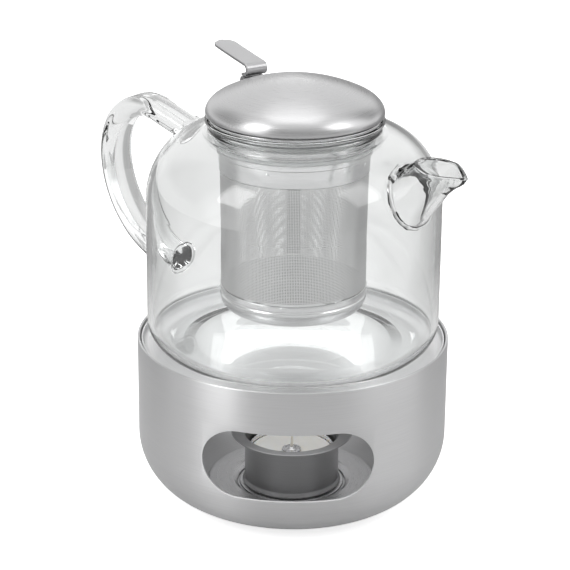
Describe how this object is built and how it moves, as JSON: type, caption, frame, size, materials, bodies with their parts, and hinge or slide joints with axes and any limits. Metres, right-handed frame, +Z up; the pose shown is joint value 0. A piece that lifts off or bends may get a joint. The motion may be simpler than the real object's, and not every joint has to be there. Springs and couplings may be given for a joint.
{
  "type": "glass teapot",
  "caption": "Glass teapot with drop-in mesh infuser and hinged steel lid, seated on a steel warmer that holds a tealight behind its window.",
  "frame": {"origin": "centre of the warmer's foot, on the surface it stands on", "axes": "+Z up along the axis of the pot, +X along the spout, -X through the handle"},
  "size_m": [0.1943, 0.14, 0.1979],
  "materials": {
    "brushed_steel": "brushed, satin",
    "holder_steel": "dark satin",
    "mesh_steel": "fine woven wire",
    "clear_glass": "clear blown borosilicate",
    "aluminium_foil": "thin pressed foil",
    "foot_rubber": "matt",
    "seal_silicone": "translucent",
    "candle_wax": "waxy, slightly translucent",
    "wick_cotton": "braided cotton"
  },
  "bodies": {
    "warmer": {"foot_pad": "foot_rubber", "warmer_shell": "brushed_steel", "base_plate": "brushed_steel", "heat_plate": "brushed_steel", "floor_tray": "brushed_steel"},
    "holder": {"tealight_holder": "holder_steel", "holder_base": "holder_steel"},
    "tealight": {"tealight_case": "aluminium_foil", "tealight_wax": "candle_wax", "wick_clip": "aluminium_foil", "wick": "wick_cotton"},
    "pot": {"glass_body": "clear_glass", "glass_spout": "clear_glass", "glass_handle": "clear_glass"},
    "infuser": {"infuser_collar": "brushed_steel", "seal_ring_1": "seal_silicone", "seal_ring_2": "seal_silicone", "seal_ring_3": "seal_silicone", "infuser_top_band": "brushed_steel", "infuser_mesh": "mesh_steel", "infuser_mesh_floor": "mesh_steel", "infuser_seam": "brushed_steel", "infuser_base_cap": "brushed_steel", "hinge_bracket": "brushed_steel", "hinge_pin": "brushed_steel"},
    "lid": {"lid_shell": "brushed_steel", "lid_liner": "brushed_steel", "lid_knuckle": "brushed_steel", "thumb_lever": "brushed_steel"}
  },
  "joints": [
    {"name": "pot_lift", "type": "slide", "parent": "warmer", "child": "pot", "axis": [0, 0, 1], "range_m": [0, 0.06]},
    {"name": "infuser_lift", "type": "slide", "parent": "pot", "child": "infuser", "axis": [0, 0, 1], "range_m": [0, 0.1]},
    {"name": "lid_hinge", "type": "hinge", "parent": "infuser", "child": "lid", "pos_m": [-0.03326, 0.01378, 0.1853], "axis": [-0.3827, -0.9239, 0], "range_deg": [0, 62]},
    {"name": "holder_lift", "type": "slide", "parent": "warmer", "child": "holder", "axis": [0, 0, 1], "range_m": [0, 0.024]},
    {"name": "tealight_lift", "type": "slide", "parent": "holder", "child": "tealight", "axis": [0, 0, 1], "range_m": [0, 0.016]}
  ]
}
